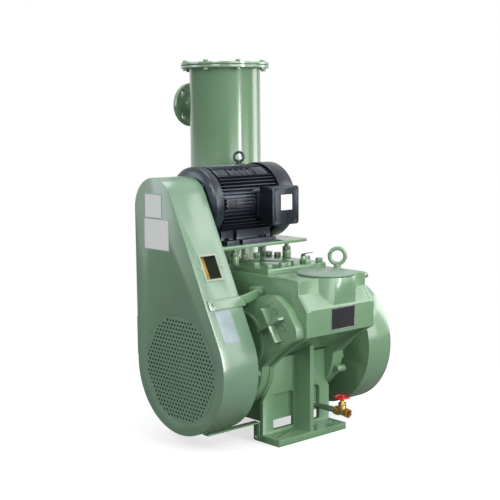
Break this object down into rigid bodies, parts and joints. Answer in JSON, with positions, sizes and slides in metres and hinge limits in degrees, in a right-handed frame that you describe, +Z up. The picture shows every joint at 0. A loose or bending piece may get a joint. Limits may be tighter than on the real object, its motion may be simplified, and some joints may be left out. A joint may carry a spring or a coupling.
{
  "type": "rotary piston vacuum pump",
  "caption": "Upright rotary piston vacuum pump: cast casing on two feet, guarded belt drive with its motor on top, round separator tank behind, flywheel drum on the right.",
  "frame": {"origin": "on the floor, at the centre of the four foundation bolts", "axes": "+X along the pump shaft from the belt guard to the flywheel drum, +Y from the inlet side to the separator tank, +Z up"},
  "size_m": [0.822, 0.993, 1.351],
  "materials": {
    "belt_rubber": "matt",
    "black_paint": "semi-gloss",
    "black_plastic": "matt",
    "brass": "satin",
    "cast_bare": "machined",
    "clear": "clear",
    "gasket": "matt",
    "green_paint": "satin",
    "guard_green": "satin",
    "red_paint": "gloss",
    "steel": "satin",
    "white_label": "matt",
    "zinc": "plated"
  },
  "bodies": {
    "pump": {"ballast_valve_body": "green_paint", "bearing_housings": "green_paint", "belt_guard": "guard_green", "blank_plates": "white_label", "deck_plate": "green_paint", "demister": "steel", "discharge_box": "green_paint", "drain_pipe": "steel", "drain_valve_body": "brass", "flywheel_guard": "green_paint", "front_pedestal": "green_paint", "grille": "guard_green", "guard_back_plate": "guard_green", "guard_brackets": "green_paint", "guard_screws": "zinc", "inlet_cover": "steel", "left_head": "green_paint", "main_bearings": "steel", "pump_bolts": "green_paint", "pump_casing": "green_paint", "pump_eyebolt": "green_paint", "rear_pedestal": "green_paint", "right_head": "green_paint", "seals_and_gaskets": "gasket", "side_plug": "zinc", "stud_sockets": "green_paint", "tank_bolts": "green_paint", "tank_cover": "green_paint", "tank_shell": "green_paint", "v_belts": "belt_rubber", "valve_cages": "cast_bare", "window_frame": "white_label", "window_pane": "clear"},
    "crank": {"crankshaft": "steel", "crank_sheave": "cast_bare", "flywheel": "cast_bare"},
    "piston_left": {"piston_left": "cast_bare"},
    "piston_right": {"piston_right": "cast_bare"},
    "hinge_left": {"hinge_bar_left": "steel"},
    "hinge_right": {"hinge_bar_right": "steel"},
    "valves_left": {"valve_discs_left": "steel"},
    "valves_right": {"valve_discs_right": "steel"},
    "carriage": {"motor_plate": "green_paint", "motor_eyebolt": "black_paint", "motor_frame": "black_paint", "drive_end_bell": "black_paint", "fan_end_bell": "black_paint", "fan_cowl": "black_paint", "terminal_box": "black_paint", "terminal_lid": "black_paint", "motor_bolts": "zinc", "stator": "steel", "motor_bearings": "steel", "adjusting_studs": "green_paint"},
    "rotor": {"rotor_shaft": "steel", "motor_pulley": "cast_bare", "cooling_fan": "black_plastic"},
    "handwheel": {"drain_handwheel": "red_paint"},
    "gate": {"drain_gate": "brass"},
    "lever": {"ballast_lever": "black_paint"}
  },
  "joints": [
    {"name": "crank_spin", "type": "hinge", "parent": "pump", "child": "crank", "pos_m": [0, -0.0285, 0.285], "axis": [1, 0, 0], "continuous": true},
    {"name": "piston_left_orbit", "type": "hinge", "parent": "crank", "child": "piston_left", "pos_m": [0, -0.0285, 0.294], "axis": [1, 0, 0], "continuous": true},
    {"name": "piston_right_orbit", "type": "hinge", "parent": "crank", "child": "piston_right", "pos_m": [0, -0.0285, 0.276], "axis": [1, 0, 0], "continuous": true},
    {"name": "hinge_left_rock", "type": "hinge", "parent": "pump", "child": "hinge_left", "pos_m": [0, -0.14939, 0.3738], "axis": [1, 0, 0], "range_deg": [-4, 4]},
    {"name": "hinge_right_rock", "type": "hinge", "parent": "pump", "child": "hinge_right", "pos_m": [0, -0.14939, 0.3738], "axis": [1, 0, 0], "range_deg": [-4, 4]},
    {"name": "valves_left_lift", "type": "slide", "parent": "pump", "child": "valves_left", "axis": [0, 0, 1], "range_m": [0, 0.004]},
    {"name": "valves_right_lift", "type": "slide", "parent": "pump", "child": "valves_right", "axis": [0, 0, 1], "range_m": [0, 0.004]},
    {"name": "belt_tension", "type": "slide", "parent": "pump", "child": "carriage", "axis": [0, 0, 1], "range_m": [-0.004, 0.008], "deforming": ["v_belts"]},
    {"name": "rotor_spin", "type": "hinge", "parent": "carriage", "child": "rotor", "pos_m": [0, 0.1015, 0.827], "axis": [1, 0, 0], "continuous": true},
    {"name": "handwheel_turn", "type": "hinge", "parent": "pump", "child": "handwheel", "pos_m": [0.103, -0.2905, 0.138], "axis": [0, 0, 1], "range_deg": [0, 1800]},
    {"name": "gate_lift", "type": "slide", "parent": "pump", "child": "gate", "axis": [0, 0, 1], "range_m": [0, 0.0125]},
    {"name": "ballast_turn", "type": "hinge", "parent": "pump", "child": "lever", "pos_m": [0.09, -0.1065, 0.64], "axis": [0, 0, 1], "range_deg": [0, 90]}
  ],
  "couplings": [
    {"joint": "piston_left_orbit", "follows": "crank_spin", "ratio": -1},
    {"joint": "piston_right_orbit", "follows": "crank_spin", "ratio": -1},
    {"joint": "rotor_spin", "follows": "crank_spin", "ratio": 2.9248},
    {"joint": "gate_lift", "follows": "handwheel_turn", "m_per_rad": 0.0003979}
  ]
}
